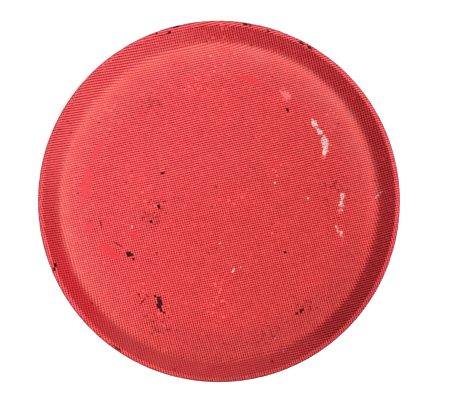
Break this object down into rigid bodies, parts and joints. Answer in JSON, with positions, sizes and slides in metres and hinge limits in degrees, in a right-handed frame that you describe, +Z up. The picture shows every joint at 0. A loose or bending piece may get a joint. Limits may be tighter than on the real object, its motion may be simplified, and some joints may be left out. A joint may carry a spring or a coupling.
{
  "type": "serving tray",
  "caption": "Round shallow serving tray with a flat floor, a sloping wall, a narrow flat lip and a coarse woven finish on both faces.",
  "frame": {"origin": "centre of the base's underside, on the surface that the tray stands on", "axes": "+Z up out of the dish, along the tray's axis; the tray is round, so X and Y are free"},
  "size_m": [0.33, 0.33, 0.0254],
  "materials": {
    "red_weave_serving": "worn satin red resin over a coarse plain weave",
    "bare_fibre": "dark compressed fibre, matt, bare at the cut edge and in the chips",
    "red_weave_underside": "worn satin red resin over a coarse plain weave"
  },
  "bodies": {
    "root": {"serving_skin": "red_weave_serving", "fibre_core": "bare_fibre", "underside_skin": "red_weave_underside"}
  },
  "joints": []
}
